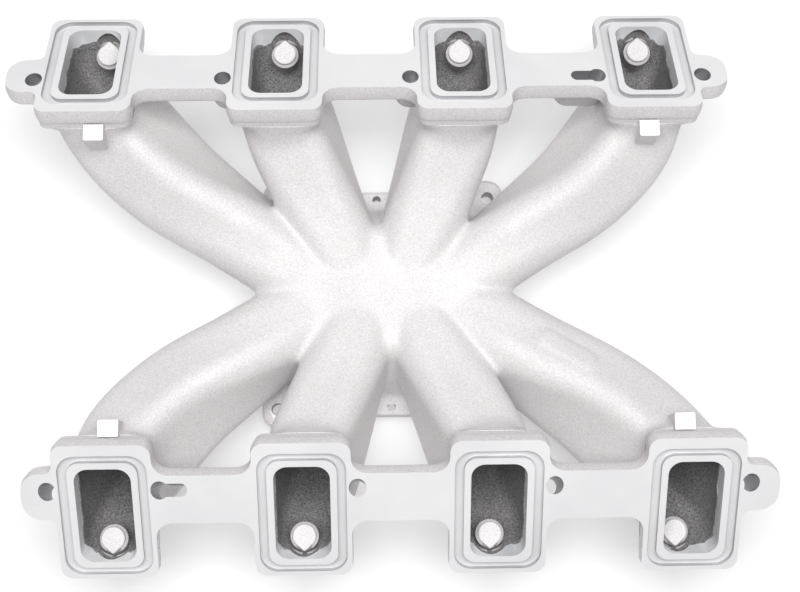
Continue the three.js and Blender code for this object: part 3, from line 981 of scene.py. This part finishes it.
def paint_flange(obj):
    centres, normals = face_data(obj.data)
    local = flange_place(centres)
    facing = normals @ FACE_NORMAL
    kinds = np.full(len(centres), SLOTS.index("cast"))
    in_groove = np.min([
        np.abs(box_distance(local[:, 0] - port_x(i), local[:, 1], w / 2, h / 2, r))
        for i in PORTS for w, h, r in (GROOVE_OUT, GROOVE_IN)
    ], axis=0) < NEAR
    wall = np.abs(facing) < 0.5
    shallow = local[:, 2] > -GROOVE_DEPTH - NEAR_LEVEL
    # Painted shade on the groove's walls.
    kinds[wall & in_groove & shallow] = SLOTS.index("bore_painted_shade")
    kinds[(facing > LEVEL) & shallow] = SLOTS.index("machined")
    # Painted shade on the groove's floor.
    groove_floor_painted_shade = (facing > LEVEL) & (np.abs(local[:, 2] + GROOVE_DEPTH) < NEAR_LEVEL)
    kinds[groove_floor_painted_shade] = SLOTS.index("groove")
    from_port = port_distance(local)
    # Painted shade: the cast duct's walls in the flange get the dark core colour.
    kinds[(from_port < -STEP_INSIDE) & (local[:, 2] < -1.0)] = SLOTS.index("core_painted_shade")
    kinds[wall & (np.abs(from_port) < NEAR_WALL)] = SLOTS.index("lead_in")
    bolts = np.min([
        np.abs(np.hypot(centres[:, 0] - x, centres[:, 1] - BOLT_Y) - BOLT_D / 2) for x in BOLTS
    ], axis=0)
    upright_wall = np.abs(normals[:, 2]) < 0.1
    slot_x = BOLTS[SLOT_AT] - SLOT_REACH / 2
    half = SLOT_W / 2
    half_length = (SLOT_REACH + half) / 2
    slot = np.abs(box_distance(centres[:, 0] - slot_x, centres[:, 1] - BOLT_Y, half_length, half, half))
    # Painted shade on the walls of the bolt holes and the slot.
    kinds[upright_wall & ((bolts < NEAR) | (slot < NEAR_SLOT))] = SLOTS.index("bore_painted_shade")
    within = (local[:, 2] < -0.6) & (local[:, 2] > -PAD_T + 1)
    # Painted shade: the hood's walls round the injector boss get the dark core colour.
    kinds[near_boss(centres, HOOD_SPACE) & (from_port > NEAR_WALL) & within] = SLOTS.index("core_painted_shade")
    paint(obj, kinds)


def paint_carburettor(obj):
    centres, normals = face_data(obj.data)
    kinds = np.full(len(centres), SLOTS.index("cast"))
    kinds[normals[:, 2] < -LEVEL] = SLOTS.index("machined")
    x, y = centres[:, 0], centres[:, 1]
    throat = np.abs(box_distance(x, y, THROAT[0] / 2, THROAT[1] / 2, THROAT[2]))
    stud = np.abs(np.hypot(np.abs(x) - CARB_STUD, np.abs(y) - CARB_STUD) - STUD_D / 2)
    # Painted shade on the walls of the throat and the stud holes.
    kinds[(throat < NEAR) | (stud < NEAR)] = SLOTS.index("bore_painted_shade")
    paint(obj, kinds)


def paint_top(obj, top, kind):
    centres, normals = face_data(obj.data)
    kinds = np.full(len(centres), SLOTS.index("cast"))
    kinds[(normals[:, 2] > 0.95) & (centres[:, 2] > top - 0.5)] = SLOTS.index(kind)
    paint(obj, kinds)


# ---- pieces ---------------------------------------------------------------------

EDGE_ANGLE = math.radians(32)


def finish_piece(obj, name, right=False):
    """Names a piece after its CAD node, puts it in place and lets it ride."""
    obj.name = name + "_skin"
    obj.data.name = obj.name
    if right:
        obj.data.transform(Matrix.Rotation(math.pi, 4, "Z"))
    obj.data.transform(Matrix.Scale(MM, 4))
    obj.data.shade_smooth()
    obj.data.set_sharp_from_angle(angle=EDGE_ANGLE)
    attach(obj, "root")
    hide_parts(name)


def both_banks(obj, name):
    twin = copied(obj, name)
    finish_piece(obj, name + "_left")
    finish_piece(twin, name + "_right", right=True)


def build():
    outer, inner = casting_fields()
    solid = small_features(outer, inner)
    for i in LUG_X:
        ROOF_HEIGHTS[i] = roof_height(outer)
    skin = skin_object("skin", solid)
    print("skin faces", len(skin.data.polygons))

    plenum = plenum_piece(skin)
    paint_skin(plenum, inner)
    finish_piece(plenum, "plenum")

    for i in PORTS:
        piece = runner_piece(i, skin)
        paint_skin(piece, inner)
        if i == 0:
            finish_piece(piece, "runner_1_left")
            piece = runner_piece(i, skin, right=True)
            paint_skin(piece, inner)
            finish_piece(piece, "runner_1_right", right=True)
        else:
            both_banks(piece, f"runner_{i + 1}")
        boss = injector_boss(i)
        paint_top(boss, INJECTOR_TOP, "cast")
        both_banks(boss, f"injector_boss_{i + 1}")
    for i in LUG_X:
        lug = datum_lug(i)
        paint_top(lug, LUG_TOP, "machined")
        both_banks(lug, f"datum_lug_{i + 1}")
    bpy.data.objects.remove(skin)

    flange = head_flange()
    paint_flange(flange)
    both_banks(flange, "head_flange")
    carburettor = carburettor_flange()
    paint_carburettor(carburettor)
    finish_piece(carburettor, "carburettor_flange")


build()

# ---- stage and light ------------------------------------------------------------

FLOOR_HALF = 6                           # metres, as all lengths below
FLOOR_DROP = 0.0002
WORLD_STRENGTH = 0.2
SOFTBOX_HEIGHT, SOFTBOX_SIZE, SOFTBOX_WATTS = 1.5, (1.3, 0.9), 25.5

h = FLOOR_HALF
floor = new_object("floor", [(-h, -h, 0), (h, -h, 0), (h, h, 0), (-h, h, 0)], [(0, 1, 2, 3)])
floor.location.z = -FLOOR_DROP
floor_material = bpy.data.materials.new("floor")
floor_material.use_nodes = True
floor_shader = floor_material.node_tree.nodes["Principled BSDF"]
floor_shader.inputs["Base Color"].default_value = (0.7, 0.7, 0.7, 1)
floor_shader.inputs["Roughness"].default_value = 0.9
floor_shader.inputs["Emission Color"].default_value = (1, 1, 1, 1)
floor_shader.inputs["Emission Strength"].default_value = 0.3
floor.data.materials.append(floor_material)

world = bpy.data.worlds.new("world")
world.use_nodes = True
world.node_tree.nodes["Background"].inputs["Color"].default_value = (1.0, 1.0, 1.0, 1)
world.node_tree.nodes["Background"].inputs["Strength"].default_value = WORLD_STRENGTH
SCENE.world = world


def area_light(name, location, target, size, watts):
    data = bpy.data.lights.new(name, "AREA")
    data.shape = "RECTANGLE"
    data.size, data.size_y = size
    data.energy = watts
    light = bpy.data.objects.new(name, data)
    light.location = location
    light.rotation_euler = (Vector(target) - Vector(location)).to_track_quat("-Z", "Y").to_euler()
    SCENE.collection.objects.link(light)


area_light("top_softbox", (0.0, 0.0, SOFTBOX_HEIGHT), (0, 0, 0), SOFTBOX_SIZE, SOFTBOX_WATTS)

SCENE.view_settings.view_transform = "Standard"
SCENE.view_settings.look = "None"
SCENE.view_settings.exposure = 0.0
